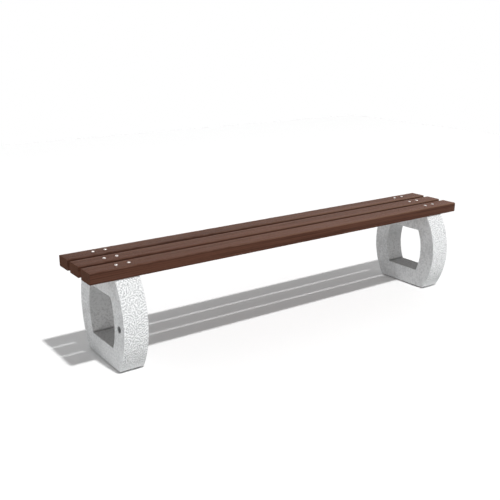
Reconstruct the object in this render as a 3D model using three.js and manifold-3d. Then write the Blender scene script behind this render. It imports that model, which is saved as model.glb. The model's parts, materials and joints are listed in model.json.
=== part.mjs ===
// Garden bench: three timber slats bolted down onto two barrel-shaped precast concrete legs.
//
// Units are millimetres and +Z is up. X runs along the seat, Y from the front edge to the rear,
// and the origin lies on the ground under the middle of the seat.

import * as THREE from 'three';
import { mergeVertices } from 'three/addons/utils/BufferGeometryUtils.js';
import Module from 'manifold-3d';

// ---- Driving dimensions -------------------------------------------------------------------

// Seat
const seatLength = 2000;
const seatHeight = 425;
const slatWidth = 82;
const slatThickness = 45;
const slatGap = 24;
const slatEdgeRadius = 3;
const slatEndBevel = 1;
const slatRows = ['front', 'middle', 'rear'];

// Concrete legs: a barrel outline with flat top and bottom, and a barrel window through it
const legSetback = 100; // from a slat's end to the leg's outer face
const legThickness = 104;
const legTopInset = 4; // the outer slats overhang the leg's flat top by this much
const barrelBulge = 57; // how far the belly stands out past the flat top, on each side
const limbThickness = 84;
const sillThickness = 84;
const headThickness = 81;
const concreteBevel = 2;

// Rubber pads under the legs
const padThickness = 4;
const padLength = 70;
const padInset = 7;

// Bolts through the slats, two for each slat on each leg
const boltDiameter = 8;
const boltSpacing = 53;
const boltHeadDiameter = 14;
const boltHeadHeight = 4.4;
const boltHeadRim = 1.2; // upright edge below the dome
const boltCrownDiameter = 7.5; // flat top of the dome
const boltKeyWidth = 5; // across the flats of the hexagon socket
const boltKeyDepth = 2.4;
const boltTipChamfer = 1;
const threadEngagement = 35;
const slatHoleClearance = 0.5; // between a bolt's shank and its hole, all round

// Threaded inserts cast into the head of each leg
const insertDiameter = 14;
const insertLength = 55;
const insertFootDiameter = 22;
const insertFootThickness = 5;
const insertSpareDepth = 4; // bore left below the bolt's tip

// Reinforcement: two bent loops round the window, joined by cross bars
const barDiameter = 8;
const barSpacing = 5; // clear concrete between a loop and the lifting socket
const sillCover = 24; // concrete between the window's sill and the loops
const loopBendLength = 34;
const crossBarOverrun = 6;

// Lifting socket in the outer face of each leg, closed by a plug
const recessDiameter = 30;
const recessDepth = 12;
const socketDiameter = 18;
const socketBore = 12;
const socketLength = 44;
const socketBackWall = 6;
const socketDrop = 5; // below the belly line
const plugSetIn = 3; // from the concrete face to the plug's face
const plugChamfer = 1;
const plugStemLength = 20;

// Fits
const contactGap = 0.3; // between pieces that rest on or are cast round each other
const runningGap = 0.3; // between a round pin and the bore it fills

// Cutting bodies run this far past the face that they cut
const cutPastFace = 2;

// Facets
const barrelSegments = 16;
const roundSegments = 10;
const slatCornerSegments = 3;
const slatBevelSegments = 2;
const domeSegments = 2;
const loopSegments = 2; // for each bend, and twice as many for each limb
const barSides = 6;

// ---- Derived sizes ------------------------------------------------------------------------

const slatPitch = slatWidth + slatGap;
const seatDepth = slatRows.length * slatWidth + (slatRows.length - 1) * slatGap;
const slatBottom = seatHeight - slatThickness;

const legBottom = padThickness + contactGap;
const legTop = slatBottom - contactGap;
const legHeight = legTop - legBottom;
const legCentreX = seatLength / 2 - legSetback - legThickness / 2;
const legMiddle = (legBottom + legTop) / 2;
const topHalfWidth = seatDepth / 2 - legTopInset;
const bellyHalfWidth = topHalfWidth + barrelBulge;
const barrelRadius = ((legHeight / 2) ** 2 + barrelBulge ** 2) / (2 * barrelBulge);
const barrelCentre = bellyHalfWidth - barrelRadius;
const windowBottom = legBottom + sillThickness;
const windowTop = legTop - headThickness;

const boltLength = slatThickness + contactGap + threadEngagement;
const insertBoreDepth = threadEngagement + insertSpareDepth;
const insertBoreRadius = boltDiameter / 2 + runningGap;

const limbMiddleRadius = barrelRadius - limbThickness / 2;
const limbMiddle = barrelCentre + limbMiddleRadius;
const loopRadius = limbMiddleRadius - socketDiameter / 2 - barSpacing - barDiameter / 2;
const loopTop = legTop - insertLength - contactGap - barDiameter / 2;
const loopBottom = windowBottom - sillCover - barDiameter / 2;
const socketHeight = legMiddle - socketDrop;

// ---- Materials ----------------------------------------------------------------------------

const timber = () => new THREE.MeshStandardMaterial({ color: 0x6b4d42, roughness: 0.5, metalness: 0 });
const concrete = () => new THREE.MeshStandardMaterial({ color: 0xd4d6d4, roughness: 0.9, metalness: 0 });
const zincedSteel = () => new THREE.MeshStandardMaterial({ color: 0xd6d3cf, roughness: 0.3, metalness: 1 });
const insertSteel = () => new THREE.MeshStandardMaterial({ color: 0xb9a86c, roughness: 0.4, metalness: 1 });
const barSteel = () => new THREE.MeshStandardMaterial({ color: 0x6d5546, roughness: 0.7, metalness: 0.8 });
const rubber = () => new THREE.MeshStandardMaterial({ color: 0x26272a, roughness: 0.8, metalness: 0 });
const greyPlastic = () => new THREE.MeshStandardMaterial({ color: 0x4d5052, roughness: 0.6, metalness: 0 });

// ---- Solids: join and cut -----------------------------------------------------------------

const wasm = await Module();
wasm.setup();

function toSolid(geometry) {
  const bare = geometry.clone();
  bare.deleteAttribute('normal');
  bare.deleteAttribute('uv');
  const merged = mergeVertices(bare);
  return new wasm.Manifold(new wasm.Mesh({
    numProp: 3,
    vertProperties: new Float32Array(merged.attributes.position.array),
    triVerts: new Uint32Array(merged.index.array),
  }));
}

function toGeometry(solid) {
  const mesh = solid.getMesh();
  const geometry = new THREE.BufferGeometry();
  geometry.setAttribute('position', new THREE.BufferAttribute(mesh.vertProperties, 3));
  geometry.setIndex(new THREE.BufferAttribute(mesh.triVerts, 1));
  geometry.computeVertexNormals();
  return geometry;
}

function cut(solid, tools) {
  return tools.reduce((rest, tool) => rest.subtract(tool), solid);
}

function join(solids) {
  return solids.reduce((whole, solid) => whole.add(solid));
}

// ---- Shared shapes ------------------------------------------------------------------------

// A shape drawn in (Y, Z) and extruded along Z becomes a body lying along X.
const drawnInYZ = new THREE.Matrix4().makeBasis(
  new THREE.Vector3(0, 1, 0),
  new THREE.Vector3(0, 0, 1),
  new THREE.Vector3(1, 0, 0),
);

// Extrudes a (Y, Z) shape to the given length, centred on x = 0, with its end edges bevelled.
function extrudeAlongX(shape, length, bevel, bevelSegments, curveSegments) {
  const geometry = new THREE.ExtrudeGeometry(shape, {
    depth: length - 2 * bevel,
    bevelThickness: bevel,
    bevelSize: bevel,
    bevelOffset: -bevel,
    bevelSegments,
    curveSegments,
  });
  geometry.translate(0, 0, bevel - length / 2);
  return geometry.applyMatrix4(drawnInYZ);
}

// Revolves [radius, height] points about a vertical axis.
function turned(points) {
  const profile = points.map(([radius, height]) => new THREE.Vector2(radius, height));
  return new THREE.LatheGeometry(profile, roundSegments).rotateX(Math.PI / 2);
}

function uprightCylinder(diameter, height, sides = roundSegments) {
  return new THREE.CylinderGeometry(diameter / 2, diameter / 2, height, sides).rotateX(Math.PI / 2);
}

function roundedRectangle(width, height, radius) {
  const halfWidth = width / 2;
  const halfHeight = height / 2;
  const shape = new THREE.Shape();
  shape.absarc(halfWidth - radius, radius - halfHeight, radius, -Math.PI / 2, 0, false);
  shape.absarc(halfWidth - radius, halfHeight - radius, radius, 0, Math.PI / 2, false);
  shape.absarc(radius - halfWidth, halfHeight - radius, radius, Math.PI / 2, Math.PI, false);
  shape.absarc(radius - halfWidth, radius - halfHeight, radius, Math.PI, 1.5 * Math.PI, false);
  return shape;
}

// Angle above the belly line at which an arc of the barrel reaches the height z.
function barrelAngle(radius, z) {
  return Math.asin((z - legMiddle) / radius);
}

// A closed barrel outline in (Y, Z): flat at both ends, with an arc on each side.
function barrelOutline(PathClass, radius, bottom, top) {
  const low = barrelAngle(radius, bottom);
  const high = barrelAngle(radius, top);
  const outline = new PathClass();
  outline.absarc(barrelCentre, legMiddle, radius, low, high, false);
  outline.absarc(-barrelCentre, legMiddle, radius, Math.PI - high, Math.PI - low, false);
  outline.closePath();
  return outline;
}

// ---- Slats --------------------------------------------------------------------------------

function slatHoleTools() {
  const tools = [];
  for (const legX of [-legCentreX, legCentreX]) {
    for (const offset of [-boltSpacing / 2, boltSpacing / 2]) {
      const hole = uprightCylinder(boltDiameter + 2 * slatHoleClearance, slatThickness + 2 * cutPastFace);
      tools.push(toSolid(hole.translate(legX + offset, 0, 0)));
    }
  }
  return tools;
}

function slatGeometry() {
  const section = roundedRectangle(slatWidth, slatThickness, slatEdgeRadius);
  const plank = extrudeAlongX(section, seatLength, slatEndBevel, slatBevelSegments, slatCornerSegments);
  return toGeometry(cut(toSolid(plank), slatHoleTools()));
}

function addSlats(parent) {
  const geometry = slatGeometry();
  slatRows.forEach((row, index) => {
    const slat = new THREE.Mesh(geometry, timber());
    slat.name = `slat_${row}`;
    slat.position.set(0, rowOffset(index), slatBottom + slatThickness / 2);
    parent.add(slat);
  });
}

// Depth position of a row of slats, counted from the front.
function rowOffset(index) {
  return (index - (slatRows.length - 1) / 2) * slatPitch;
}

// Places of the bolts over one leg, in that leg's own frame.
function boltPlaces() {
  const places = [];
  slatRows.forEach((row, index) => {
    for (const column of ['outer', 'inner']) {
      const x = column === 'outer' ? -boltSpacing / 2 : boltSpacing / 2;
      places.push({ index, column, x, y: rowOffset(index) });
    }
  });
  return places;
}

// ---- Bolts and inserts --------------------------------------------------------------------

// Profile of a bolt's domed head, from its rim up to its crown: a quarter of an ellipse.
function domeProfile() {
  const crown = boltCrownDiameter / 2;
  const points = [];
  for (let step = 0; step <= domeSegments; step += 1) {
    const angle = (Math.PI / 2) * (step / domeSegments);
    const radius = crown + (boltHeadDiameter / 2 - crown) * Math.cos(angle);
    const height = boltHeadRim + (boltHeadHeight - boltHeadRim) * Math.sin(angle);
    points.push([radius, contactGap + height]);
  }
  return points;
}

// Button-head bolt. Its origin is on the seat, under the head.
function boltGeometry() {
  const shank = boltDiameter / 2;
  const headTop = contactGap + boltHeadHeight;
  const body = turned([
    [0, -boltLength],
    [shank - boltTipChamfer, -boltLength],
    [shank, boltTipChamfer - boltLength],
    [shank, contactGap],
    [boltHeadDiameter / 2, contactGap],
    ...domeProfile(),
    [0, headTop],
  ]);
  const acrossCorners = boltKeyWidth / Math.cos(Math.PI / 6);
  const key = uprightCylinder(acrossCorners, 2 * boltKeyDepth, 6).translate(0, 0, headTop);
  return toGeometry(cut(toSolid(body), [toSolid(key)]));
}

// Threaded sleeve with a foot that anchors it. Its origin is at its mouth. The same outline,
// grown by the contact gap and left without its bore, is the pocket in the concrete.
function insertProfile(grow) {
  const foot = insertFootDiameter / 2 + grow;
  const sleeve = insertDiameter / 2 + grow;
  const bottom = -insertLength - grow;
  return [
    [0, bottom],
    [foot, bottom],
    [foot, insertFootThickness - insertLength + grow],
    [sleeve, insertFootThickness - insertLength + grow],
  ];
}

function insertGeometry() {
  return turned([
    ...insertProfile(0),
    [insertDiameter / 2, 0],
    [insertBoreRadius, 0],
    [insertBoreRadius, -insertBoreDepth],
    [0, -insertBoreDepth],
  ]);
}

function insertPocket() {
  return turned([
    ...insertProfile(contactGap),
    [insertDiameter / 2 + contactGap, cutPastFace],
    [0, cutPastFace],
  ]);
}

// ---- Lifting socket and plug --------------------------------------------------------------

// All three are drawn below z = 0, which is the concrete's outer face, and then laid on their side.
function socketGeometry() {
  return turned([
    [0, -socketLength],
    [socketDiameter / 2, -socketLength],
    [socketDiameter / 2, -recessDepth],
    [socketBore / 2, -recessDepth],
    [socketBore / 2, socketBackWall - socketLength],
    [0, socketBackWall - socketLength],
  ]);
}

function socketPocket() {
  return turned([
    [0, -socketLength - contactGap],
    [socketDiameter / 2 + contactGap, -socketLength - contactGap],
    [socketDiameter / 2 + contactGap, -recessDepth - contactGap],
    [recessDiameter / 2, -recessDepth - contactGap],
    [recessDiameter / 2, cutPastFace],
    [0, cutPastFace],
  ]);
}

function plugGeometry() {
  const stem = socketBore / 2 - runningGap;
  const disc = recessDiameter / 2 - runningGap;
  const discBack = contactGap - recessDepth;
  return turned([
    [0, -recessDepth - plugStemLength],
    [stem, -recessDepth - plugStemLength],
    [stem, discBack],
    [disc, discBack],
    [disc, -plugSetIn - plugChamfer],
    [disc - plugChamfer, -plugSetIn],
    [0, -plugSetIn],
  ]);
}

// Brings a body drawn below z = 0 to its place behind the outer face, in the leg's own frame.
function toOuterFace(geometry) {
  return geometry.rotateY(-Math.PI / 2).translate(-legThickness / 2, -limbMiddle, socketHeight);
}

// ---- Reinforcement ------------------------------------------------------------------------

// Centre line of a loop in (Y, Z): the window's barrel, with its corners bent round.
function loopCentreLine() {
  const low = barrelAngle(loopRadius, loopBottom);
  const high = barrelAngle(loopRadius, loopTop);
  const bendAngle = loopBendLength / loopRadius;
  const cornerAt = (angle) => barrelCentre + loopRadius * Math.cos(angle);
  const topCorner = cornerAt(high);
  const bottomCorner = cornerAt(low);
  const sideStart = low + bendAngle;
  const sideEnd = high - bendAngle;
  const pointAt = (angle) => [cornerAt(angle), legMiddle + loopRadius * Math.sin(angle)];
  const path = new THREE.Path();
  path.moveTo(loopBendLength - bottomCorner, loopBottom);
  path.lineTo(bottomCorner - loopBendLength, loopBottom);
  path.quadraticCurveTo(bottomCorner, loopBottom, ...pointAt(sideStart));
  path.absarc(barrelCentre, legMiddle, loopRadius, sideStart, sideEnd, false);
  path.quadraticCurveTo(topCorner, loopTop, topCorner - loopBendLength, loopTop);
  path.lineTo(loopBendLength - topCorner, loopTop);
  const [endY, endZ] = pointAt(sideEnd);
  path.quadraticCurveTo(-topCorner, loopTop, -endY, endZ);
  path.absarc(-barrelCentre, legMiddle, loopRadius, Math.PI - sideEnd, Math.PI - sideStart, false);
  path.quadraticCurveTo(-bottomCorner, loopBottom, loopBendLength - bottomCorner, loopBottom);
  return withoutRepeats(path.getPoints(loopSegments));
}

function withoutRepeats(points) {
  const apart = 0.01;
  return points.filter((point, index) => {
    const next = points[(index + 1) % points.length];
    return point.distanceTo(next) > apart;
  });
}

// A round bar bent along a closed line of (Y, Z) points, in the plane x = 0.
function closedBar(points, radius) {
  const count = points.length;
  const vertices = [];
  const index = [];
  points.forEach((point, station) => {
    const before = points[(station + count - 1) % count];
    const after = points[(station + 1) % count];
    const along = after.clone().sub(before).normalize();
    for (let side = 0; side < barSides; side += 1) {
      const angle = (2 * Math.PI * side) / barSides;
      const outward = radius * Math.cos(angle);
      vertices.push(radius * Math.sin(angle), point.x + along.y * outward, point.y - along.x * outward);
      const here = station * barSides + side;
      const turn = station * barSides + ((side + 1) % barSides);
      const there = ((station + 1) % count) * barSides;
      const ahead = there + side;
      const aheadTurn = there + ((side + 1) % barSides);
      index.push(here, ahead, turn, turn, ahead, aheadTurn);
    }
  });
  const geometry = new THREE.BufferGeometry();
  geometry.setAttribute('position', new THREE.BufferAttribute(new Float32Array(vertices), 3));
  geometry.setIndex(index);
  return geometry;
}

// Middles of the cross bars in (Y, Z): two on the level bars above and below the window, clear of
// the inserts, and one on each limb at the belly line.
function crossBarPlaces() {
  return [-1, 1].flatMap((side) => [
    [(side * slatPitch) / 2, loopTop],
    [(side * slatPitch) / 2, loopBottom],
    [side * (barrelCentre + loopRadius), legMiddle],
  ]);
}

// Both loops and their cross bars as one welded solid, with every bar's radius grown by a gap.
function cageSolid(grow) {
  const radius = barDiameter / 2 + grow;
  const loop = closedBar(loopCentreLine(), radius);
  const loops = [-boltSpacing / 2, boltSpacing / 2].map((x) => toSolid(loop.clone().translate(x, 0, 0)));
  const barLength = boltSpacing + 2 * (crossBarOverrun + grow);
  const bars = crossBarPlaces().map(([y, z]) => {
    const bar = uprightCylinder(2 * radius, barLength, barSides).rotateY(Math.PI / 2);
    return toSolid(bar.translate(0, y, z));
  });
  return join([...loops, ...bars]);
}

// ---- Concrete -----------------------------------------------------------------------------

function concreteGeometry() {
  const outline = barrelOutline(THREE.Shape, barrelRadius, legBottom, legTop);
  const windowRadius = barrelRadius - limbThickness;
  outline.holes.push(barrelOutline(THREE.Path, windowRadius, windowBottom, windowTop));
  const block = extrudeAlongX(outline, legThickness, concreteBevel, 1, barrelSegments);
  const pockets = boltPlaces().map(({ x, y }) => toSolid(insertPocket().translate(x, y, legTop)));
  const tools = [cageSolid(contactGap), ...pockets, toSolid(toOuterFace(socketPocket()))];
  return toGeometry(cut(toSolid(block), tools));
}

// ---- Leg assembly -------------------------------------------------------------------------

function named(name, geometry, material) {
  const mesh = new THREE.Mesh(geometry, material);
  mesh.name = name;
  return mesh;
}

function footPad(y) {
  const width = legThickness - 2 * padInset;
  return new THREE.BoxGeometry(width, padLength, padThickness).translate(0, y, padThickness / 2);
}

// Everything that stands on one leg. Both legs come out of one mould and are the same piece;
// the right one is turned end for end, so its rows read from the rear to the front.
function legAssembly(side) {
  const rows = side === 'left' ? slatRows : [...slatRows].reverse();
  const group = new THREE.Group();
  group.add(named(`concrete_leg_${side}`, shared.concrete, concrete()));
  group.add(named(`rebar_cage_${side}`, shared.cage, barSteel()));
  group.add(named(`lifting_socket_${side}`, shared.socket, zincedSteel()));
  group.add(named(`socket_plug_${side}`, shared.plug, greyPlastic()));
  for (const { index, column, x, y } of boltPlaces()) {
    const bolt = named(`bolt_${side}_${rows[index]}_${column}`, shared.bolt, zincedSteel());
    bolt.position.set(x, y, seatHeight);
    const insert = named(`insert_${side}_${rows[index]}_${column}`, shared.insert, insertSteel());
    insert.position.set(x, y, legTop);
    group.add(bolt, insert);
  }
  const padOffset = topHalfWidth - padInset - padLength / 2;
  group.add(named(`foot_pad_${side}_${rows.at(0)}`, footPad(-padOffset), rubber()));
  group.add(named(`foot_pad_${side}_${rows.at(-1)}`, footPad(padOffset), rubber()));
  return group;
}

const shared = {
  concrete: concreteGeometry(),
  cage: toGeometry(cageSolid(0)),
  socket: toOuterFace(socketGeometry()),
  plug: toOuterFace(plugGeometry()),
  bolt: boltGeometry(),
  insert: insertGeometry(),
};

const bench = new THREE.Group();
addSlats(bench);

const leftLeg = legAssembly('left');
leftLeg.position.x = -legCentreX;
bench.add(leftLeg);

const rightLeg = legAssembly('right');
rightLeg.position.x = legCentreX;
rightLeg.rotation.z = Math.PI;
bench.add(rightLeg);

export default bench;
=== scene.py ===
import json
import math

import bpy
import bmesh
import numpy as np
from mathutils import Matrix, Vector, noise

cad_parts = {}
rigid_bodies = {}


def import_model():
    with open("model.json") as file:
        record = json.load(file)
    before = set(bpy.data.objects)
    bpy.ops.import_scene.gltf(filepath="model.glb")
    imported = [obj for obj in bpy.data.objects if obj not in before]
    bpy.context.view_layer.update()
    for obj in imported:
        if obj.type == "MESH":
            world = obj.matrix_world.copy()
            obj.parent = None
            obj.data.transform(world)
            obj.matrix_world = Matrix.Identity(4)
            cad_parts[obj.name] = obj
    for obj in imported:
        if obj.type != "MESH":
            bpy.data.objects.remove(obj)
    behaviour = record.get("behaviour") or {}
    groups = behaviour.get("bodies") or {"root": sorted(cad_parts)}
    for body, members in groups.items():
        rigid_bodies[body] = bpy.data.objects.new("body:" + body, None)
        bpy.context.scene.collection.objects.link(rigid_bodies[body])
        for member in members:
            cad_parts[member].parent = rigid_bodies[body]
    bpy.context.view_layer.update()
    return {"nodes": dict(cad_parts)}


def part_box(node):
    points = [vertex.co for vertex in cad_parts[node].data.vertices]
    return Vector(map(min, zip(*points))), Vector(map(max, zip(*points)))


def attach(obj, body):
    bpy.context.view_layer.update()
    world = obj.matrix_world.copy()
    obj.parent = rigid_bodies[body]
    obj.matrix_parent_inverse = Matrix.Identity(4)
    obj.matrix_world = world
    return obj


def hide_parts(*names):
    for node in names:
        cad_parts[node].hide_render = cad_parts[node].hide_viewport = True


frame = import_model()
scene = bpy.context.scene
print("frame loaded with", len(frame["nodes"]), "nodes")


# camera, light and floor

view = {
    "place": (-1.988, -2.558, 1.277),
    "turn": 35.21,      # degrees from straight ahead towards the right
    "tilt": 16.66,      # degrees below level
    "lens": 53.16,
    "sensor": 36.0,
}

studio = {
    "lamp": (1.26, -14.1, 31.0),
    "lampWatts": 30.8,      # with no fall-off, so the floor stays pale far out
    "lampRadius": 0.77,     # for soft shadow edges
    "skyTop": 0.41,
    "skyLow": 0.50,
    "skyBehind": 1.15,      # the horizon behind the bench glows more
    "skySpread": 0.9,       # how far round to the sides that glow reaches
    "skyFade": 5.0,
    "backdrop": 1.0,
    "floorShade": 0.93,
    "floorRoughness": 0.9,
    "floorSize": 12.0,
}


def makeCamera():
    lensData = bpy.data.cameras.new("camera")
    lensData.lens = view["lens"]
    lensData.sensor_width = view["sensor"]
    camera = bpy.data.objects.new("camera", lensData)
    camera.location = view["place"]
    camera.rotation_euler = (math.radians(90 - view["tilt"]), 0, math.radians(-view["turn"]))
    scene.collection.objects.link(camera)
    scene.camera = camera


def makeLamp():
    lampData = bpy.data.lights.new("lamp", "POINT")
    lampData.energy = studio["lampWatts"]
    lampData.shadow_soft_size = studio["lampRadius"]
    lampData.use_nodes = True
    paint = Paint(lampData.node_tree)
    level = paint.node("ShaderNodeLightFalloff", {}, {"Strength": 1.0}, "Constant")
    paint.feed(lampData.node_tree.nodes["Emission"].inputs["Strength"], level)
    lamp = bpy.data.objects.new("lamp", lampData)
    lamp.location = studio["lamp"]
    scene.collection.objects.link(lamp)


# shader graphs are written as expressions: a Wire is a socket, and arithmetic on it adds Math nodes

class Wire:
    def __init__(self, paint, socket):
        self.paint = paint
        self.socket = socket

    def maths(self, operation, first, second):
        return self.paint.node("ShaderNodeMath", {"operation": operation}, {0: first, 1: second})

    def __add__(self, other):
        return self.maths("ADD", self, other)

    def __sub__(self, other):
        return self.maths("SUBTRACT", self, other)

    def __rsub__(self, other):
        return self.maths("SUBTRACT", other, self)

    def __mul__(self, other):
        return self.maths("MULTIPLY", self, other)

    def __truediv__(self, other):
        return self.maths("DIVIDE", self, other)

    def __rtruediv__(self, other):
        return self.maths("DIVIDE", other, self)

    def __pow__(self, other):
        return self.maths("POWER", self, other)

    def __rpow__(self, other):
        return self.maths("POWER", other, self)

    __radd__ = __add__
    __rmul__ = __mul__

    def output(self, name):
        return Wire(self.paint, self.socket.node.outputs[name])


class Paint:
    def __init__(self, tree):
        self.tree = tree

    # settings go in before the sockets' values and links, because they change which sockets there are
    def node(self, kind, settings, sockets, out=0):
        made = self.tree.nodes.new(kind)
        for key, value in settings.items():
            setattr(made, key, value)
        for key, value in sockets.items():
            self.feed(made.inputs[key], value)
        return Wire(self, made.outputs[out])

    def feed(self, socket, value):
        if isinstance(value, Wire):
            self.tree.links.new(value.socket, socket)
        else:
            socket.default_value = value

    def place(self):
        return self.node("ShaderNodeTexCoord", {}, {}, "Object")

    def stretch(self, vector, factors):
        return self.node("ShaderNodeVectorMath", {"operation": "MULTIPLY"}, {0: vector, 1: factors})

    def shift(self, vector, offset):
        return self.node("ShaderNodeVectorMath", {"operation": "ADD"}, {0: vector, 1: offset})

    def noise(self, vector, scale, detail=2.0, roughness=0.5):
        sockets = {"Vector": vector, "Scale": scale, "Detail": detail, "Roughness": roughness}
        return self.node("ShaderNodeTexNoise", {}, sockets)

    def mask(self, value, low, high):
        sockets = {"Value": value, "From Min": low, "From Max": high}
        return self.node("ShaderNodeMapRange", {"interpolation_type": "SMOOTHSTEP"}, sockets)

    def mix(self, factor, first, second):
        return self.node("ShaderNodeMix", {"data_type": "RGBA"}, {0: factor, 6: first, 7: second}, 2)

    def bump(self, height, distance, strength=1.0):
        sockets = {"Height": height, "Distance": distance, "Strength": strength}
        return self.node("ShaderNodeBump", {}, sockets)


def newMaterial(name, surface):
    material = bpy.data.materials.new(name)
    material.use_nodes = True
    paint = Paint(material.node_tree)
    shader = material.node_tree.nodes["Principled BSDF"]
    for socket, value in surface.items():
        paint.feed(shader.inputs[socket], value)
    return material, paint, shader


def makeWorld():
    world = bpy.data.worlds.new("studioSky")
    scene.world = world
    world.use_nodes = True
    paint = Paint(world.node_tree)
    background = world.node_tree.nodes["Background"]
    direction = paint.node("ShaderNodeTexCoord", {}, {}, "Generated")
    split = paint.node("ShaderNodeSeparateXYZ", {}, {0: direction}, "Z")
    behind = paint.mask(split.output("Y"), 0.0, studio["skySpread"])
    horizon = behind * (studio["skyBehind"] - studio["skyLow"]) + studio["skyLow"] - studio["skyTop"]
    glow = (1.0 - paint.mask(split, 0.0, 1.0)) ** studio["skyFade"] * horizon + studio["skyTop"]
    seen = paint.node("ShaderNodeLightPath", {}, {}, "Is Camera Ray")
    paint.feed(background.inputs["Color"], (1, 1, 1, 1))
    paint.feed(background.inputs["Strength"], glow * (1.0 - seen) + seen * studio["backdrop"])


def makeFloor():
    half = studio["floorSize"] / 2
    corners = [(-half, -half, 0), (half, -half, 0), (half, half, 0), (-half, half, 0)]
    floor = meshObject("studioFloor", corners, [(0, 1, 2, 3)])
    tone = (studio["floorShade"],) * 3 + (1,)
    surface = {"Base Color": tone, "Roughness": studio["floorRoughness"]}
    floor.data.materials.append(newMaterial("paleFloor", surface)[0])


# mesh helpers

crispAngle = 38     # degrees; a fold sharper than this keeps a crisp edge
cutterPast = 0.002      # how far a cutting shape stands out of what it cuts


def meshObject(name, vertices, faces):
    mesh = bpy.data.meshes.new(name)
    mesh.from_pydata(np.asarray(vertices).tolist(), [], [list(map(int, face)) for face in faces])
    mesh.update()
    thing = bpy.data.objects.new(name, mesh)
    scene.collection.objects.link(thing)
    return thing


# joins a stack of rings, each with as many points, into one closed skin
def skinObject(name, rings, closed=False):
    rings = np.asarray(rings, float)
    rows, columns, _ = rings.shape
    index = np.arange(rows * columns).reshape(rows, columns)
    ahead = np.roll(index, -1, axis=0) if closed else index[1:]
    here = index if closed else index[:-1]
    quads = np.stack([here, np.roll(here, -1, 1), np.roll(ahead, -1, 1), ahead], -1).reshape(-1, 4)
    faces = quads.tolist()
    if not closed:
        faces += [index[0][::-1].tolist(), index[-1].tolist()]
    thing = meshObject(name, rings.reshape(-1, 3), faces)
    outward(thing.data)
    return thing


def outward(mesh):
    work = bmesh.new()
    work.from_mesh(mesh)
    bmesh.ops.recalc_face_normals(work, faces=work.faces)
    work.to_mesh(mesh)
    work.free()
    shade(mesh)


def shade(mesh):
    mesh.shade_smooth()
    mesh.set_sharp_from_angle(angle=math.radians(crispAngle))


def cutAway(thing, cutter):
    knife = thing.modifiers.new("cut", "BOOLEAN")
    knife.operation = "DIFFERENCE"
    knife.solver = "EXACT"
    knife.object = cutter
    shaped = thing.evaluated_get(bpy.context.evaluated_depsgraph_get())
    thing.data = bpy.data.meshes.new_from_object(shaped)
    thing.modifiers.remove(knife)
    bpy.data.objects.remove(cutter)
    shade(thing.data)


def joined(name, things):
    work = bmesh.new()
    for thing in things:
        work.from_mesh(thing.data)
        bpy.data.objects.remove(thing)
    mesh = bpy.data.meshes.new(name)
    work.to_mesh(mesh)
    work.free()
    whole = bpy.data.objects.new(name, mesh)
    scene.collection.objects.link(whole)
    return whole


def smoothStep(value, low, high):
    share = np.clip((value - low) / (high - low), 0, 1)
    return share * share * (3 - 2 * share)


# rings of a turned shape: profile holds (radius, height), and a radius may be a function of the angle
def turnedRings(profile, sides):
    angles = np.arange(sides) * 2 * math.pi / sides
    rings = []
    for radius, height in profile:
        reach = radius(angles) if callable(radius) else np.full(sides, radius)
        ring = [reach * np.cos(angles), reach * np.sin(angles), np.full(sides, height)]
        rings.append(np.stack(ring, -1))
    return rings


# a loop round a rectangle with rounded corners, drawn a little smaller by shrink
def roundedLoop(halfWide, halfHigh, radius, shrink, cornerSteps, wideSteps, highSteps):
    turns = np.linspace(0, math.pi / 2, cornerSteps + 1)
    signs = [(1, -1), (1, 1), (-1, 1), (-1, -1)]
    arcs = []
    for corner, (right, top) in enumerate(signs):
        angles = turns + (corner - 1) * math.pi / 2
        centre = np.array([right * (halfWide - radius), top * (halfHigh - radius)])
        arcs.append(centre + (radius - shrink) * np.stack([np.cos(angles), np.sin(angles)], -1))
    loop = []
    for corner, arc in enumerate(arcs):
        after = arcs[(corner + 1) % 4]
        steps = highSteps if corner % 2 == 0 else wideSteps
        shares = np.linspace(0, 1, steps + 1)[1:-1, None]
        loop += [arc, arc[-1] + shares * (after[0] - arc[-1])]
    return np.concatenate(loop)


# timber slats

slat = {
    "edgeRadius": 0.003,
    "endRadius": 0.001,
    "endTaper": 1.3,        # the last ring shrinks by this many end radii
    "endSteps": 5,
    "cornerSteps": 7,
    "wideSteps": 10,
    "highSteps": 5,
    "stationGap": 0.025,
    "rubbed": 0.0003,       # how unevenly the long edges are rounded
    "rubbedLength": 0.08,
    "rubbedReach": (0.5, 1.1),      # in edge radii, from fully rubbed to not at all
    "edgesApart": 9,        # keeps the four edges' rubbing unlike
    "holeRadius": 0.0045,
    "holeSides": 24,
}

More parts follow.
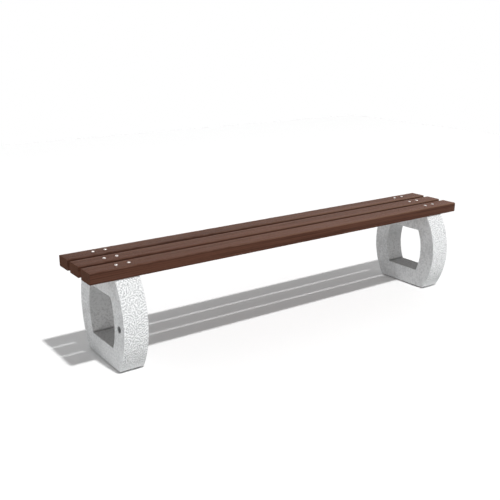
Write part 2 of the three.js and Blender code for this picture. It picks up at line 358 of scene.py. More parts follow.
timber = {
    "early": (0.098, 0.0425, 0.0275, 1),
    "late": (0.044, 0.0180, 0.0115, 1),
    # lighter wood for stains and worn edges; on the edges it is also a painted highlight
    "wearAndHighlight": (0.145, 0.078, 0.058, 1),
    # painted highlight colour for the band along each board's front edge
    "frontHighlight": (0.21, 0.125, 0.085, 1),
    "cut": (0.072, 0.042, 0.032, 1),        # end grain
    "ringWidth": 0.0085,
    "wander": 0.016,        # how far the rings wander along a board
    "ripple": 0.0016,       # and how far they waver close to
    "lateRise": (0.35, 0.85),       # in shares of a ring
    "lateFall": (0.90, 1.0),
    "drift": (1.1, 7.0, 7.0),       # scales of the grain's noises, stretched along the board
    "waver": (6.0, 40.0, 40.0),
    "fibre": (9.0, 620.0, 620.0),
    "pores": (55.0, 1500.0, 1500.0),
    "stain": (1.6, 16.0, 16.0),
    "ribbon": (1.4, 75.0, 75.0),
    "edgeBreakup": (30.0, 160.0, 160.0),
    "lateShare": 0.45,      # how much each of them darkens or lightens the wood
    "fibreShare": 0.9,
    "ribbonShare": 2.6,
    "poreShare": 0.55,
    "stainShare": 0.35,
    "edgeWearAndHighlightShare": 0.75,
    "cutShare": 0.6,
    "boardsApart": 3.1,     # keeps the boards' grain unlike
    "highlightInset": 0.002,
    "highlightWidth": 0.014,      # of the painted highlight, a pale band along a board's front edge
    "highlightWander": 0.012,
    "highlightAlong": (-0.8, 0.9),
    "highlightDeep": (-0.006, -0.001),
    "roughness": 0.28,
    "coat": 0.04,
    "coatRoughness": 0.28,
    "coatIor": 1.22,
    "specular": 0.024,
    "sheen": 0.58,
    "haze": (1.0, 0.32, 0.10, 1),
    "hazeSpread": 0.25,
    "grainDepth": 0.00025,
    "endGrain": (0.9988, 0.9996),       # from this far along X, a cut end is dull
}


def timberMaterial(name, board, edge, seed):
    surface = {
        "Coat Roughness": timber["coatRoughness"],
        "Coat IOR": timber["coatIor"],
        "Specular IOR Level": timber["specular"],
        "Sheen Weight": timber["sheen"],
        "Sheen Roughness": timber["hazeSpread"],
        "Sheen Tint": timber["haze"],
    }
    material, paint, shader = newMaterial(name, surface)
    place = paint.shift(paint.place(), (seed * timber["boardsApart"], 0, 0))

    def grain(which, detail=2.0, roughness=0.5):
        return paint.noise(paint.stretch(place, timber[which]), 1.0, detail, roughness)

    # growth rings round the pith
    drift = grain("drift") - 0.5
    waver = grain("waver") - 0.5
    split = paint.node("ShaderNodeSeparateXYZ", {}, {0: place}, "Y")
    across = split - board["pith"][0]
    upward = split.output("Z") - board["pith"][1]
    distance = (across * across + upward * upward) ** 0.5
    rings = (distance + drift * timber["wander"] + waver * timber["ripple"]) / timber["ringWidth"]
    phase = paint.node("ShaderNodeMath", {"operation": "FRACT"}, {0: rings})
    late = paint.mask(phase, *timber["lateRise"]) * (1.0 - paint.mask(phase, *timber["lateFall"]))
    fibre = grain("fibre", 3.0, 0.6)
    pores = paint.mask(grain("pores", 1.0), 0.62, 0.74)
    stain = grain("stain", 3.0)
    ribbon = grain("ribbon", 3.0, 0.6)
    figure = late * timber["lateShare"] + (fibre - 0.5) * timber["fibreShare"]
    figure = figure + (ribbon - 0.5) * timber["ribbonShare"] + board["depth"]
    tone = paint.mix(figure, timber["early"], timber["late"])
    tone = paint.mix(pores * timber["poreShare"], tone, timber["late"])
    tone = paint.mix(paint.mask(stain, 0.45, 0.80) * timber["stainShare"], tone, timber["wearAndHighlight"])

    # painted highlight: a paler band under each board's front edge, stronger towards +X
    where = paint.node("ShaderNodeSeparateXYZ", {}, {0: paint.place()}, "X")
    inward = where.output("Y") - edge[0] + (stain - 0.5) * timber["highlightWander"]
    highlightBand = 1.0 - paint.mask(inward, timber["highlightInset"], timber["highlightWidth"])
    highlightBand = highlightBand * paint.mask(where, *timber["highlightAlong"])
    highlightBand = highlightBand * paint.mask(where.output("Z") - edge[1], *timber["highlightDeep"])
    tone = paint.mix(highlightBand * (ribbon * 0.8 + 0.3), tone, timber["frontHighlight"])

    # rubbed edges, lightened partly for wear and partly as a painted highlight, and sawn ends
    rubbed = paint.node("ShaderNodeAttribute", {"attribute_name": "rubbed"}, {}, "Fac")
    edgeBreakup = paint.mask(grain("edgeBreakup", 3.0), 0.35, 0.62)
    # painted highlight, partly wear: the rounded long edges are lightened
    tone = paint.mix(rubbed * edgeBreakup * timber["edgeWearAndHighlightShare"], tone, timber["wearAndHighlight"])
    endFrom, endTo = timber["endGrain"]
    sawn = paint.mask(where * where, endFrom ** 2, endTo ** 2)
    tone = paint.mix(sawn * timber["cutShare"], tone, timber["cut"])
    height = fibre * 0.5 + late * 0.5 - pores * 0.8
    gloss = timber["roughness"] + (fibre - 0.5) * 0.25 + pores * 0.2
    polish = (timber["coat"] - rubbed * 0.1 + (stain - 0.5) * 0.1) * (1.0 - sawn)
    paint.feed(shader.inputs["Base Color"], tone)
    paint.feed(shader.inputs["Roughness"], gloss + sawn * (1.0 - gloss))
    paint.feed(shader.inputs["Coat Weight"], polish)
    paint.feed(shader.inputs["Normal"], paint.bump(height, timber["grainDepth"], 0.6))
    return material


# where the centre of each board's rings is, in (Y, Z), and how deep its brown is
boards = {
    "slat_front": {"pith": (-0.125, 0.330), "depth": 0.15},
    "slat_middle": {"pith": (0.020, 0.300), "depth": 0.15},
    "slat_rear": {"pith": (0.080, 0.345), "depth": 0.55},
}


# how far along the board each ring stands, and how much it shrinks there
def slatStations(halfLength):
    ease = slat["endRadius"]
    reach = halfLength - ease
    ends = []
    for turn in np.linspace(0, math.pi / 2, slat["endSteps"] + 1):
        ends.append((reach + ease * math.sin(turn), ease * (1 - math.cos(turn))))
    ends.append((halfLength, ease * slat["endTaper"]))
    count = round(2 * reach / slat["stationGap"])
    middle = [(along, 0.0) for along in np.linspace(-reach, reach, count + 1)[1:-1]]
    return [(-along, shrink) for along, shrink in reversed(ends)] + middle + ends


def makeSlat(node, seed):
    low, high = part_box(node)
    centre = (low + high) / 2
    size = high - low
    nearest, furthest = (slat["edgeRadius"] * reach for reach in slat["rubbedReach"])
    apart = slat["edgesApart"]
    rings = []
    rubbed = []
    for along, shrink in slatStations(size.x / 2):
        loop = roundedLoop(size.y / 2, size.z / 2, slat["edgeRadius"], shrink,
                           slat["cornerSteps"], slat["wideSteps"], slat["highSteps"])
        corner = np.maximum(size.y / 2 - np.abs(loop[:, 0]), size.z / 2 - np.abs(loop[:, 1]))
        nearCorner = 1 - smoothStep(corner, nearest, furthest)
        ring = []
        for (y, z), wearAndHighlight in zip(loop, nearCorner):
            right = np.sign(y)
            upper = np.sign(z)
            sample = Vector((along / slat["rubbedLength"] + seed, apart * right, apart * upper))
            give = slat["rubbed"] * wearAndHighlight * (0.5 + 0.5 * noise.noise(sample))
            ring.append((centre.x + along, centre.y + y - give * right, centre.z + z - give * upper))
        rings.append(ring)
        rubbed += list(nearCorner)
    board = skinObject(node + ".board", rings)
    attribute = board.data.attributes.new("rubbed", "FLOAT", "POINT")
    attribute.data.foreach_set("value", rubbed)
    holes = [boltHole(name, low.z, high.z) for name in boltsThrough(node)]
    cutAway(board, joined("holes", holes))
    return board


def boltsThrough(slatNode):
    row = slatNode.split("_")[1]
    return [name for name in frame["nodes"] if name.startswith("bolt_") and f"_{row}_" in name]


def boltHole(node, low, high):
    a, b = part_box(node)
    radius = slat["holeRadius"]
    profile = [(radius, low - cutterPast), (radius, high + cutterPast)]
    hole = skinObject("hole", turnedRings(profile, slat["holeSides"]))
    hole.data.transform(Matrix.Translation(((a.x + b.x) / 2, (a.y + b.y) / 2, 0)))
    return hole


def makeSlats():
    for seed, (node, board) in enumerate(boards.items(), start=1):
        piece = makeSlat(node, seed)
        low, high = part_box(node)
        piece.data.materials.append(timberMaterial(node + "Timber", board, (low.y, high.z), seed))
        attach(piece, "root")
        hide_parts(node)
        print("slat", node, len(piece.data.vertices), "points")


# concrete legs

leg = {
    "flatHalf": 0.143,      # half the flat top's depth
    "limb": 0.084,
    "sill": 0.084,
    "head": 0.081,
    "edgeRadius": 0.0018,
    "edgeSteps": 4,
    "cornerRadius": 0.0025,
    "cornerSteps": 4,
    "arcSteps": 270,
    "flatSteps": 50,
    "acrossSteps": 78,      # over the bowed faces, from side to side
    "faceSteps": 12,
    "windowSteps": 14,
}

# the worm-like relief of the bowed faces
relief = {
    "strokeGap": 0.0102,    # from one ridge to the next
    "strokeSpread": 0.50,
    "strokeLength": 1.2,    # how much longer than wide the strokes are
    "strokeTangle": 0.50,   # share of strokes that keep to no direction
    "strokeLean": 0.35,     # radians up from level
    "strokeDrift": 0.75,    # how much their direction wanders
    "strokeFocus": 12,      # how closely they keep to it
    "strokeWays": 9,
    "strokeSharpness": 1.8,
    "driftLength": 0.070,
    "grooveTone": 0.63,
    "grooveDepth": 0.0022,
    "pitGap": 0.010,
    "pitTone": 0.9,
    "pitRange": (1.7, 2.6),     # only the strongest spots become pits
    "deepest": 1.2,
    "swell": 0.0003,        # slow rise and fall of the whole rough face
    "swellLength": 0.03,
    "spread": 0.5,          # how mixed the sizes of drifts, pits and swells are
    "fadeWidth": 0.0012,    # where the relief meets the smooth sides
    "rimShare": 0.6,        # of the relief that is left there
    "plainTop": 0.006,
    "plainFoot": 0.045,
    "seed": 7,
}

concrete = {
    "pale": (0.73, 0.74, 0.745, 1),
    "grey": (0.53, 0.54, 0.545, 1),
    "shaded": (0.48, 0.485, 0.485, 1),      # painted shade inside the window, darkest high up
    "shadedLow": (0.71, 0.715, 0.715, 1),       # painted shade lower down in the window, lighter
    # painted shade on the window's sill
    "sill": (0.53, 0.535, 0.535, 1),
    "corner": (0.26, 0.26, 0.26, 1),        # painted shade where the window's walls meet its sill
    "white": (0.885, 0.895, 0.90, 1),
    "footShade": (0.68, 0.69, 0.69, 1),      # painted shade on the rough faces near the ground
    # painted shade for the relief's grooves and pits
    "grooveShade": (0.37, 0.38, 0.385, 1),
    # dark grains, and painted shade in the bubble pits
    "darkSpots": (0.30, 0.30, 0.30, 1),
    "sideShade": {"left": 0.0, "right": 0.22},       # painted shade: the right leg's smooth faces are made greyer than the left's
    "castingsApart": 1.7,
    "cloudScale": 14.0,
    "patchScale": 110.0,
    "streaks": (150.0, 150.0, 24.0),        # drawn out downwards
    "sandScale": 900.0,
    "gritScale": 1100.0,
    "gritRange": (0.90, 0.97),      # only a few grains show
    "gritShare": 0.30,
    "bubbleScale": 95.0,
    "bubbleSize": (0.10, 0.19),
    "bubbleField": 60.0,    # where bubbles gather
    "bubbleRange": (0.60, 0.72),
    "bubbleShadeShare": 0.6,
    "blotchRange": (0.42, 0.60),
    "footHeight": 0.15,
    "footWander": 0.05,
    "shadedFrom": (0.09, 0.24),     # heights inside the window
    "cornerFrom": (0.0885, 0.0990),
    "sillFrom": (0.0884, 0.0887),
    "roughness": 0.82,
    "grainDepth": 0.0006,
}


def concreteMaterial(name, seed, sideShade):
    material, paint, shader = newMaterial(name, {"Specular IOR Level": 0.3})
    place = paint.shift(paint.place(), (seed * concrete["castingsApart"], 0, 0))
    height = paint.node("ShaderNodeSeparateXYZ", {}, {0: place}, "Z")
    cloud = paint.noise(place, concrete["cloudScale"], 4.0, 0.6)
    patch = paint.noise(place, concrete["patchScale"], 3.0, 0.6)
    streak = paint.noise(paint.stretch(place, concrete["streaks"]), 1.0, 3.0, 0.6)
    sand = paint.noise(place, concrete["sandScale"], 3.0, 0.7)

    # single dark grains, and the pits that air bubbles leave, darkened as painted shade
    grains = {"Vector": place, "Scale": concrete["gritScale"]}
    chance = paint.node("ShaderNodeTexVoronoi", {}, grains, "Color")
    chance = paint.node("ShaderNodeSeparateXYZ", {}, {0: chance}, "X")
    darkSpots = paint.mask(chance, *concrete["gritRange"])
    cells = {"Vector": place, "Scale": concrete["bubbleScale"]}
    middles = paint.node("ShaderNodeTexVoronoi", {}, cells, "Distance")
    chosen = paint.mask(paint.noise(place, concrete["bubbleField"], 1.0), *concrete["bubbleRange"])
    pit = chosen * (1.0 - paint.mask(middles, *concrete["bubbleSize"]))

    front = paint.node("ShaderNodeAttribute", {"attribute_name": "front"}, {}, "Fac")
    grooveShade = paint.node("ShaderNodeAttribute", {"attribute_name": "grooveShade"}, {}, "Fac")
    window = paint.node("ShaderNodeAttribute", {"attribute_name": "window"}, {}, "Fac")
    foot = height + (cloud - 0.5) * concrete["footWander"]
    foot = 1.0 - paint.mask(foot, 0.0, concrete["footHeight"])
    # painted light: the smooth faces are made paler towards the ground, countering the shade there
    blotch = paint.mask(cloud * 0.30 + patch * 0.55 + streak * 0.15, *concrete["blotchRange"])
    # painted shade: the right leg's smooth faces are greyed here
    tone = paint.mix(blotch * (1.0 - foot * 0.4) + sideShade, concrete["pale"], concrete["grey"])
    # painted shade: the window's walls darken towards the top, under the seat
    higher = paint.mask(height, *concrete["shadedFrom"])
    inside = paint.mix(higher, concrete["shadedLow"], concrete["shaded"])
    # painted shade in the crease where the walls meet the sill
    inside = paint.mix(1.0 - paint.mask(height, *concrete["cornerFrom"]), inside, concrete["corner"])
    # painted shade on the sill
    inside = paint.mix(1.0 - paint.mask(height, *concrete["sillFrom"]), inside, concrete["sill"])
    # darker patches inside the window, in the painted-shade colour
    inside = paint.mix((patch - 0.5) * 2.2 + 0.1, inside, concrete["corner"])
    tone = paint.mix(window, tone, inside)
    # painted shade: the rough faces grow greyer towards the ground
    rough = paint.mix(foot, concrete["white"], concrete["footShade"])
    tone = paint.mix(front, tone, rough)
    # painted shade: the relief's grooves and pits are darkened
    tone = paint.mix(grooveShade, tone, concrete["grooveShade"])
    tone = paint.mix(darkSpots * concrete["gritShare"], tone, concrete["darkSpots"])
    # painted shade: the bubble pits on the smooth faces are darkened
    tone = paint.mix(pit * (1.0 - front) * concrete["bubbleShadeShare"], tone, concrete["darkSpots"])
    surface = sand * 0.35 + patch * 0.4 - pit * 2.0
    paint.feed(shader.inputs["Base Color"], tone)
    paint.feed(shader.inputs["Roughness"], concrete["roughness"] + (sand - 0.5) * 0.2)
    paint.feed(shader.inputs["Normal"], paint.bump(surface, concrete["grainDepth"], 0.8))
    return material


# a barrel's outline in (Y, Z): up the rear, over the top, down the front and back under,
# with filleted corners
def barrelLoop(radius, belly, middle, low, high):
    centre = belly - radius
    fillet = leg["cornerRadius"]
    corner = math.asin(((high - low) / 2 - fillet) / (radius - fillet))
    arc = np.linspace(-corner, corner, leg["arcSteps"])
    bend = np.linspace(corner, math.pi / 2, leg["cornerSteps"] + 1)[1:]
    pivotY = centre + (radius - fillet) * math.cos(corner)
    pivotZ = (radius - fillet) * math.sin(corner)
    bendY = pivotY + fillet * np.cos(bend)
    onArc = np.stack([centre + radius * np.cos(arc), middle + radius * np.sin(arc)], -1)
    upper = np.stack([bendY, middle + pivotZ + fillet * np.sin(bend)], -1)
    lower = np.stack([bendY, middle - pivotZ - fillet * np.sin(bend)], -1)[::-1]
    rear = np.concatenate([lower, onArc, upper])
    front = (rear * (-1, 1))[::-1]
    shares = np.linspace(0, 1, leg["flatSteps"] + 2)[1:-1, None]
    over = rear[-1] + shares * (front[0] - rear[-1])
    under = front[-1] + shares * (rear[0] - front[-1])
    return np.concatenate([rear, over, front, under])


def loopNormals(loop):
    along = np.roll(loop, -1, axis=0) - np.roll(loop, 1, axis=0)
    normals = np.stack([along[:, 1], -along[:, 0]], -1)
    return normals / np.linalg.norm(normals, axis=1)[:, None]


# worm-like strokes whose direction drifts over the face: how deep the grooves between the ridges
# are, and a slow swell
def wormStrokes(rows, columns, rowGap, columnGap, random):
    tall = np.fft.fftfreq(rows, rowGap)[:, None]
    wide = np.fft.fftfreq(columns, columnGap)[None, :]
    waves = np.hypot(tall, wide)
    gap = relief["strokeGap"]
    spread = relief["strokeSpread"]
    ways = relief["strokeWays"]

    def filtered(pick):
        field = np.fft.ifft2(np.fft.fft2(random.standard_normal((rows, columns))) * pick).real
        return field / field.std()

    def band(length, width):
        return filtered(np.exp(-((waves * length - 1) / width) ** 2))

    heading = relief["strokeLean"] + relief["strokeDrift"] * band(relief["driftLength"], relief["spread"])
    strokes = band(gap, spread) * relief["strokeTangle"]
    for way in np.arange(ways) * math.pi / ways:
        along = wide * math.cos(way) + tall * math.sin(way)
        aside = np.abs(tall * math.cos(way) - wide * math.sin(way))
        spacing = (aside * gap - 1) / spread
        oriented = filtered(np.exp(-spacing ** 2 - (along * gap * relief["strokeLength"]) ** 2))
        strokes += oriented * np.cos(heading - way) ** relief["strokeFocus"]
    strokes = np.tanh(strokes / strokes.std() * relief["strokeSharpness"])
    pits = smoothStep(band(relief["pitGap"], relief["spread"]), *relief["pitRange"])
    grooves = relief["grooveTone"] * (0.5 - 0.5 * strokes) + pits * relief["pitTone"]
    swell = band(relief["swellLength"], relief["spread"])
    return np.clip(grooves, 0, relief["deepest"]), swell


# how deep the rough faces are cut, one row for each point of the outer loop
def legRelief(rows, blankRows, arcLength, thickness, random):
    columns = leg["acrossSteps"]
    inner = thickness - 2 * leg["edgeRadius"]
    across = np.linspace(0, inner, columns)
    upward = np.linspace(0, arcLength, rows)
    rim = relief["rimShare"]
    sides = rim + (1 - rim) * smoothStep(np.minimum(across, inner - across), 0, relief["fadeWidth"])
    foot = smoothStep(upward, 0, relief["plainFoot"])
    top = smoothStep(arcLength - upward, 0, relief["plainTop"])
    fade = (foot * top)[:, None] * sides[None, :]
    blank = np.zeros((blankRows, columns))
    layers = []
    for _ in range(2):
        grooves, swell = wormStrokes(rows, columns, upward[1], across[1], random)
        layers.append((grooves * fade, swell * fade, np.ones_like(fade)))
    rear, front = layers
    return [np.concatenate([rear[k], blank, front[k][::-1], blank]) for k in range(3)]


def makeLeg(node, seed):
    low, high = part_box(node)
    middle = (low.z + high.z) / 2
    half = (high.x - low.x) / 2
    centreX = (high.x + low.x) / 2
    belly = high.y
    bulge = belly - leg["flatHalf"]
    radius = ((high.z - low.z) ** 2 / 4 + bulge ** 2) / (2 * bulge)
    edge = leg["edgeRadius"]
    limb = leg["limb"]
    bottom = low.z + leg["sill"]
    top = high.z - leg["head"]

    # both loops can be drawn further into the concrete, for the rounded edges
    def outerLoop(inset):
        loop = barrelLoop(radius, belly, middle, low.z, high.z)
        return loop - loopNormals(loop) * inset

    def innerLoop(inset):
        loop = barrelLoop(radius - limb, belly - limb, (bottom + top) / 2, bottom, top)
        return loop + loopNormals(loop) * inset

    outer = outerLoop(0)
    inner = innerLoop(0)
    rows = leg["arcSteps"] + 2 * leg["cornerSteps"]
    arcLength = 2 * radius * math.asin((high.z - low.z) / 2 / radius)
    random = np.random.default_rng(seed)
    grooves, swell, rough = legRelief(rows, leg["flatSteps"], arcLength, 2 * half, random)
    depth = grooves * relief["grooveDepth"] + swell * relief["swell"]
    normals = loopNormals(outer)
    plain = np.zeros(len(outer))
    full = np.ones(len(outer))
    columns = []        # each is (x, points, grooveShade, front, window), once round the limb's section
    for column, x in enumerate(np.linspace(edge - half, half - edge, leg["acrossSteps"])):
        cut = outer - normals * depth[:, column, None]
        columns.append((x, cut, grooves[:, column], rough[:, column], plain))
    turns = np.linspace(0, math.pi / 2, leg["edgeSteps"] + 1)
    shares = np.linspace(0, 1, leg["faceSteps"] + 1)[1:-1]
    outerRim = outerLoop(edge)
    innerRim = innerLoop(edge)
    for turn in turns[1:]:
        loop = outerLoop(edge * (1 - math.cos(turn)))
        columns.append((half - edge + edge * math.sin(turn), loop, plain, plain, plain))
    for share in shares:
        columns.append((half, outerRim + share * (innerRim - outerRim), plain, plain, plain))
    for turn in turns[::-1]:
        loop = innerLoop(edge * (1 - math.cos(turn)))
        columns.append((half - edge + edge * math.sin(turn), loop, plain, plain, full * math.cos(turn)))
    for x in np.linspace(half - edge, edge - half, leg["windowSteps"])[1:-1]:
        columns.append((x, inner, plain, plain, full))
    for turn in turns:
        loop = innerLoop(edge * (1 - math.cos(turn)))
        columns.append((edge - half - edge * math.sin(turn), loop, plain, plain, full * math.cos(turn)))
    for share in shares[::-1]:
        columns.append((-half, outerRim + share * (innerRim - outerRim), plain, plain, plain))
    for turn in turns[::-1][:-1]:
        loop = outerLoop(edge * (1 - math.cos(turn)))
        columns.append((edge - half - edge * math.sin(turn), loop, plain, plain, plain))
    grid = []
    for x, points, *_ in columns:
        grid.append(np.column_stack([np.full(len(points), centreX + x), points]))
    body = skinObject(node + ".casting", grid, closed=True)
    for place, name in enumerate(["grooveShade", "front", "window"], start=2):
        attribute = body.data.attributes.new(name, "FLOAT", "POINT")
        attribute.data.foreach_set("value", np.concatenate([column[place] for column in columns]))
    return body


def makeLegs():
    for seed, side in enumerate(["left", "right"], start=1):
        node = "concrete_leg_" + side
        body = makeLeg(node, relief["seed"] + 10 * seed)
        cutAway(body, joined("pockets", insertPockets(side) + [socketPocket(side)]))
        finish = concreteMaterial(node + "Concrete", seed, concrete["sideShade"][side])
        body.data.materials.append(finish)
        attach(body, "root")
        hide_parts(node)
        print("leg", side, len(body.data.vertices), "points")


# room in the legs for what is cast in

pocket = {
    "gap": 0.0003,          # round the inserts and the lifting socket's sleeve
    "insertSides": 24,
    "recessRadius": 0.015,      # the plugged hollow in the outer face
    "recessDepth": 0.0123,
    "recessSides": 48,
}


def insertPockets(side):
    pockets = []
    for name in sorted(frame["nodes"]):
        if not name.startswith(f"insert_{side}_"):
            continue
        low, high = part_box(name)
        foot = (high.y - low.y) / 2 + pocket["gap"]
        profile = [(foot, low.z - pocket["gap"]), (foot, high.z + cutterPast)]
        shape = skinObject("pocket", turnedRings(profile, pocket["insertSides"]))
        shape.data.transform(Matrix.Translation(((low.x + high.x) / 2, (low.y + high.y) / 2, 0)))
        pockets.append(shape)
    return pockets


def socketPocket(side):
    low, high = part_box("lifting_socket_" + side)
    legLow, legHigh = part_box("concrete_leg_" + side)
    away = -1 if side == "left" else 1
    face = legLow.x if side == "left" else legHigh.x
    back = high.x if side == "left" else low.x
    sleeve = (high.z - low.z) / 2 + pocket["gap"]
    shoulder = face - away * pocket["recessDepth"]
    profile = [
        (sleeve, back - away * pocket["gap"]),
        (sleeve, shoulder),
        (pocket["recessRadius"], shoulder),
        (pocket["recessRadius"], face + away * cutterPast),
    ]
    rings = [ring[:, [2, 0, 1]] for ring in turnedRings(profile, pocket["recessSides"])]
    shape = skinObject("pocket", rings)
    shape.data.transform(Matrix.Translation((0, (low.y + high.y) / 2, (low.z + high.z) / 2)))
    return shape


# bolts through the slats

bolt = {
    "headRadius": 0.007,
    "headHeight": 0.0044,
    "rimHeight": 0.0011,
    "rimChamfer": 0.0003,       # under the head
    "crownRadius": 0.0036,
    "shankRadius": 0.004,
    "tipChamfer": 0.001,
    "keyWidth": 0.005,      # across the flats of the hexagon
    "keyDepth": 0.0024,
    "keyChamfer": 0.0003,
    "drillRadius": 0.48,        # in key widths
    "drillTip": 0.0007,
    "tipRadius": 0.0004,
    "domeSteps": 10,
    "sides": 48,
    "seed": 5,
}

zinc = {
    "bright": (0.95, 0.89, 0.865, 1),
    "dull": (0.84, 0.78, 0.76, 1),
    "dullShare": 0.6,
    "cloudScale": 260.0,
    "brushing": (900.0, 900.0, 5000.0),
    "roughness": 0.40,
}


def zincMaterial():
    material, paint, shader = newMaterial("brightZinc", {"Metallic": 1.0})
    place = paint.place()
    cloud = paint.noise(place, zinc["cloudScale"], 3.0)
    brushed = paint.noise(paint.stretch(place, zinc["brushing"]), 1.0, 2.0)
    tone = paint.mix(paint.mask(cloud, 0.35, 0.75) * zinc["dullShare"], zinc["bright"], zinc["dull"])
    paint.feed(shader.inputs["Base Color"], tone)
    paint.feed(shader.inputs["Roughness"], zinc["roughness"] + (cloud - 0.5) * 0.25)
    paint.feed(shader.inputs["Normal"], paint.bump(brushed, 0.00005, 0.5))
    return material


def hexagon(width):
    sixth = math.pi / 3
    return lambda angles: width / 2 / np.cos((angles + sixth / 2) % sixth - sixth / 2)


# heights are measured from the seat, under the head
def boltProfile(tip):
    shank = bolt["shankRadius"]
    head = bolt["headRadius"]
    crown = bolt["crownRadius"]
    rim = bolt["rimHeight"]
    top = bolt["headHeight"]
    key = bolt["keyWidth"]
    floor = top - bolt["keyDepth"]
    profile = [(shank - bolt["tipChamfer"], tip), (shank, tip + bolt["tipChamfer"]), (shank, 0)]
    profile += [(head - bolt["rimChamfer"], 0), (head, bolt["rimChamfer"])]
    for turn in np.linspace(0, math.pi / 2, bolt["domeSteps"] + 1):
        profile.append((crown + (head - crown) * math.cos(turn), rim + (top - rim) * math.sin(turn)))
    profile += [(hexagon(key + 2 * bolt["keyChamfer"]), top), (hexagon(key), top - bolt["keyChamfer"])]
    profile += [(hexagon(key), floor), (key * bolt["drillRadius"], floor)]
    return profile + [(bolt["tipRadius"], floor - bolt["drillTip"])]


def makeBolts():
    random = np.random.default_rng(bolt["seed"])
    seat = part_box("slat_middle")[1].z
    finish = zincMaterial()
    for node in sorted(name for name in frame["nodes"] if name.startswith("bolt_")):
        low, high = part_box(node)
        piece = skinObject(node + ".screw", turnedRings(boltProfile(low.z - seat), bolt["sides"]))
        turned = Matrix.Rotation(random.uniform(0, math.pi / 3), 4, "Z")
        middle = (low + high) / 2
        piece.data.transform(Matrix.Translation((middle.x, middle.y, seat)) @ turned)
        piece.data.materials.append(finish)
        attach(piece, "root")
        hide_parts(node)
    print("bolts ready")


# rubber pads and plastic plugs

pad = {
    "cornerRadius": 0.006,
    "cornerSteps": 8,
    "sideSteps": 6,
    "edgeRadius": 0.0007,
    "edgeSteps": 4,
    "black": (0.030, 0.030, 0.032, 1),
    "dusty": (0.085, 0.083, 0.078, 1),
    "dustScale": 90.0,
    "grainScale": 1400.0,
    "roughness": 0.72,
}

plug = {
    "stemRadius": 0.0057,
    "discHeight": 0.0087,
    "outerChamfer": (0.0009, 0.0003),       # round the disc's outer edge
    "rim": 0.0022,          # width of the raised rim round the disc
    "rimSlope": (0.0006, 0.0004),
    "dish": 0.0014,
    "slotRadius": 0.0045,
    "slotChamfer": (0.0006, 0.0003),
    "slotDepth": 0.0020,
    "middle": 0.0005,
    "dark": (0.060, 0.064, 0.066, 1),
    "faded": (0.105, 0.108, 0.108, 1),
    "cloudScale": 180.0,
    "grainScale": 2600.0,
    "roughness": 0.48,
    "sides": 48,
}


def rubberMaterial():
    material, paint, shader = newMaterial("padRubber", {"Specular IOR Level": 0.3})
    place = paint.place()
    dust = paint.mask(paint.noise(place, pad["dustScale"], 4.0, 0.6), 0.4, 0.7)
    grain = paint.noise(place, pad["grainScale"], 2.0)
    paint.feed(shader.inputs["Base Color"], paint.mix(dust, pad["black"], pad["dusty"]))
    paint.feed(shader.inputs["Roughness"], pad["roughness"] + (grain - 0.5) * 0.3)
    paint.feed(shader.inputs["Normal"], paint.bump(grain, 0.0001, 0.6))
    return material


def plasticMaterial():
    material, paint, shader = newMaterial("plugPlastic", {})
    place = paint.place()
    cloud = paint.noise(place, plug["cloudScale"], 3.0)
    grain = paint.noise(place, plug["grainScale"], 2.0)
    faded = paint.mask(cloud, 0.4, 0.7)
    paint.feed(shader.inputs["Base Color"], paint.mix(faded, plug["dark"], plug["faded"]))
    paint.feed(shader.inputs["Roughness"], plug["roughness"] + (cloud - 0.5) * 0.3)
    paint.feed(shader.inputs["Normal"], paint.bump(grain, 0.00006, 0.6))
    return material


def makePads():
    finish = rubberMaterial()
    edge = pad["edgeRadius"]
    turns = np.linspace(0, math.pi / 2, pad["edgeSteps"] + 1)
    steps = [(edge * (1 - math.sin(turn)), edge * (1 - math.cos(turn))) for turn in turns]
    for node in sorted(name for name in frame["nodes"] if name.startswith("foot_pad_")):
        low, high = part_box(node)
        middle = (low + high) / 2
        half = (high - low) / 2
        levels = [(low.z + rise, shrink) for rise, shrink in steps[::-1]]
        levels += [(high.z - rise, shrink) for rise, shrink in steps]
        rings = []
        for height, shrink in levels:
            loop = roundedLoop(half.x, half.y, pad["cornerRadius"], shrink,
                               pad["cornerSteps"], pad["sideSteps"], pad["sideSteps"])
            loop = loop + (middle.x, middle.y)
            rings.append(np.column_stack([loop, np.full(len(loop), height)]))
        piece = skinObject(node + ".rubber", rings)
        piece.data.materials.append(finish)
        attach(piece, "root")
        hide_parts(node)
    print("pads ready")


# each radius, and how far behind the disc's face it lies
def plugProfile(disc, stemLength):
    chamfer, chamferDrop = plug["outerChamfer"]
    slope, slopeDrop = plug["rimSlope"]
    slotEase, slotDrop = plug["slotChamfer"]
    inner = disc - plug["rim"]
    slot = hexagon(2 * plug["slotRadius"])
    return [
        (plug["stemRadius"], stemLength),
        (plug["stemRadius"], plug["discHeight"]),
        (disc, plug["discHeight"]),
        (disc, chamfer),
        (disc - chamferDrop, chamferDrop),
        (disc - chamfer, 0),
        (inner, 0),
        (inner - slope, slopeDrop),
        (inner - 2 * slope, plug["dish"]),
        (plug["slotRadius"] + slotEase, plug["dish"]),
        (slot, plug["dish"] + slotDrop),
        (slot, plug["dish"] + plug["slotDepth"]),
        (plug["middle"], plug["dish"] + plug["slotDepth"]),
    ]


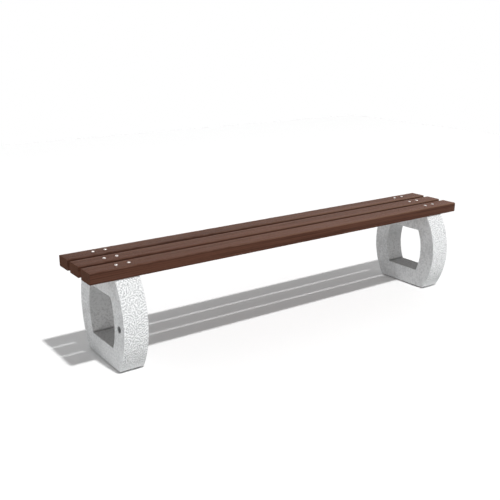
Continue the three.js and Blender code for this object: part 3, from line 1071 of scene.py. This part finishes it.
def makePlugs():
    finish = plasticMaterial()
    for side, away in (("left", -1), ("right", 1)):
        node = "socket_plug_" + side
        low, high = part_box(node)
        face = low.x if side == "left" else high.x
        profile = plugProfile((high.y - low.y) / 2, high.x - low.x)
        profile = [(radius, face - away * drop) for radius, drop in profile]
        rings = [ring[:, [2, 0, 1]] for ring in turnedRings(profile, plug["sides"])]
        piece = skinObject(node + ".cap", rings)
        piece.data.transform(Matrix.Translation((0, (low.y + high.y) / 2, (low.z + high.z) / 2)))
        piece.data.materials.append(finish)
        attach(piece, "root")
        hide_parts(node)
    print("plugs ready")


# steel cast into the concrete keeps its own shape and gets a finish

castSteel = {
    "insert_": {
        "plain": (0.66, 0.57, 0.30, 1),     # brass-coloured plating
        "spotted": (0.42, 0.33, 0.16, 1),
        "scale": 190.0,
        "roughness": 0.38,
    },
    "lifting_socket_": {
        "plain": (0.72, 0.71, 0.70, 1),
        "spotted": (0.48, 0.47, 0.47, 1),
        "scale": 150.0,
        "roughness": 0.36,
    },
    "rebar_cage_": {
        "plain": (0.17, 0.13, 0.11, 1),
        "spotted": (0.32, 0.15, 0.07, 1),       # rust
        "scale": 60.0,
        "roughness": 0.62,
    },
}


def finishCastSteel():
    for start, look in castSteel.items():
        material, paint, shader = newMaterial(start + "steel", {"Metallic": 1.0})
        place = paint.place()
        spots = paint.noise(place, look["scale"], 5.0, 0.65)
        grain = paint.noise(place, look["scale"] * 12, 2.0)
        tone = paint.mix(paint.mask(spots, 0.46, 0.66), look["plain"], look["spotted"])
        paint.feed(shader.inputs["Base Color"], tone)
        paint.feed(shader.inputs["Roughness"], look["roughness"] + (spots - 0.5) * 0.4)
        paint.feed(shader.inputs["Normal"], paint.bump(spots + grain * 0.3, 0.0002, 0.5))
        for name in frame["nodes"]:
            if name.startswith(start):
                slots = bpy.data.objects[name].data.materials
                slots.clear()
                slots.append(material)
    print("cast-in steel finished")


makeCamera()
makeLamp()
makeWorld()
makeFloor()
print("camera, light and floor ready")
makeSlats()
makeLegs()
makeBolts()
makePads()
makePlugs()
finishCastSteel()

scene.view_settings.view_transform = "Standard"
